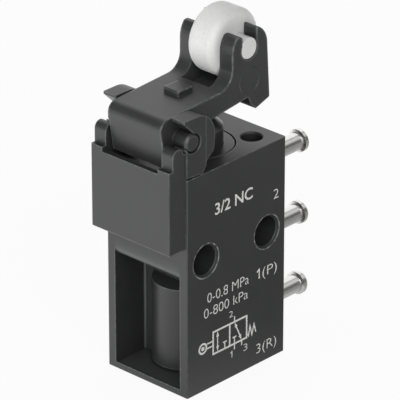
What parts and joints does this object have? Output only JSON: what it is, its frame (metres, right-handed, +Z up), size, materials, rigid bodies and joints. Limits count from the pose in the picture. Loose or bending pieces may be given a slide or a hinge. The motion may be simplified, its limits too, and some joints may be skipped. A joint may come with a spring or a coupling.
{
  "type": "roller lever air valve",
  "caption": "Small mechanically actuated air valve: a moulded block with hose barbs at the back and a roller on a snap-in lever that presses a spring-returned button.",
  "frame": {"origin": "middle of the body's flat bottom face", "axes": "+Z up along the valve's bore towards the button and roller; +Y out of the back face along the hose barbs; +X across the body along the mounting holes"},
  "size_m": [0.018, 0.0415, 0.0618],
  "materials": {
    "body_plastic": "satin black moulding",
    "bracket_plastic": "satin black moulding",
    "lever_plastic": "satin black moulding",
    "button_plastic": "satin black moulding",
    "roller_plastic": "white acetal, satin",
    "poppet_plastic": "natural acetal",
    "barb_nickel": "bright nickel plating",
    "insert_brass": "turned",
    "steel": "drawn wire and ground rod",
    "seal_rubber": "black nitrile"
  },
  "bodies": {
    "housing": {"valve_body": "body_plastic", "lever_bracket": "bracket_plastic", "gland": "button_plastic", "gland_seal": "seal_rubber", "stem_seal": "seal_rubber", "return_spring": "steel", "seat_insert": "insert_brass", "seat_insert_seal": "seal_rubber", "poppet_spring": "steel", "guide_sleeve": "insert_brass", "guide_sleeve_seal": "seal_rubber", "poppet_tube_seal": "seal_rubber", "port_1_barb": "barb_nickel", "port_2_barb": "barb_nickel", "port_3_barb": "barb_nickel"},
    "lever": {"roller_lever": "lever_plastic"},
    "roller": {"roller": "roller_plastic"},
    "plunger": {"push_button": "button_plastic", "valve_stem": "steel"},
    "poppet_unit": {"poppet": "poppet_plastic", "poppet_disc": "seal_rubber"}
  },
  "joints": [
    {"name": "lever_pivot", "type": "hinge", "parent": "housing", "child": "lever", "pos_m": [0, -0.0102, 0.0456], "axis": [-1, 0, 0], "range_deg": [0, 12], "stiffness_Nm_per_rad": 0.05, "springref_deg": -28.65},
    {"name": "roller_spin", "type": "hinge", "parent": "lever", "child": "roller", "pos_m": [0, 0.0063, 0.0559], "axis": [1, 0, 0], "continuous": true},
    {"name": "plunger_slide", "type": "slide", "parent": "housing", "child": "plunger", "axis": [0, 0, -1], "range_m": [0, 0.00215], "deforming": ["return_spring"]},
    {"name": "poppet_slide", "type": "slide", "parent": "housing", "child": "poppet_unit", "axis": [0, 0, -1], "range_m": [0, 0.0016], "deforming": ["poppet_spring"]}
  ],
  "couplings": [
    {"joint": "plunger_slide", "follows": "lever_pivot", "m_per_rad": 0.010235},
    {"joint": "poppet_slide", "follows": "lever_pivot", "m_per_rad": 0.0076093}
  ]
}
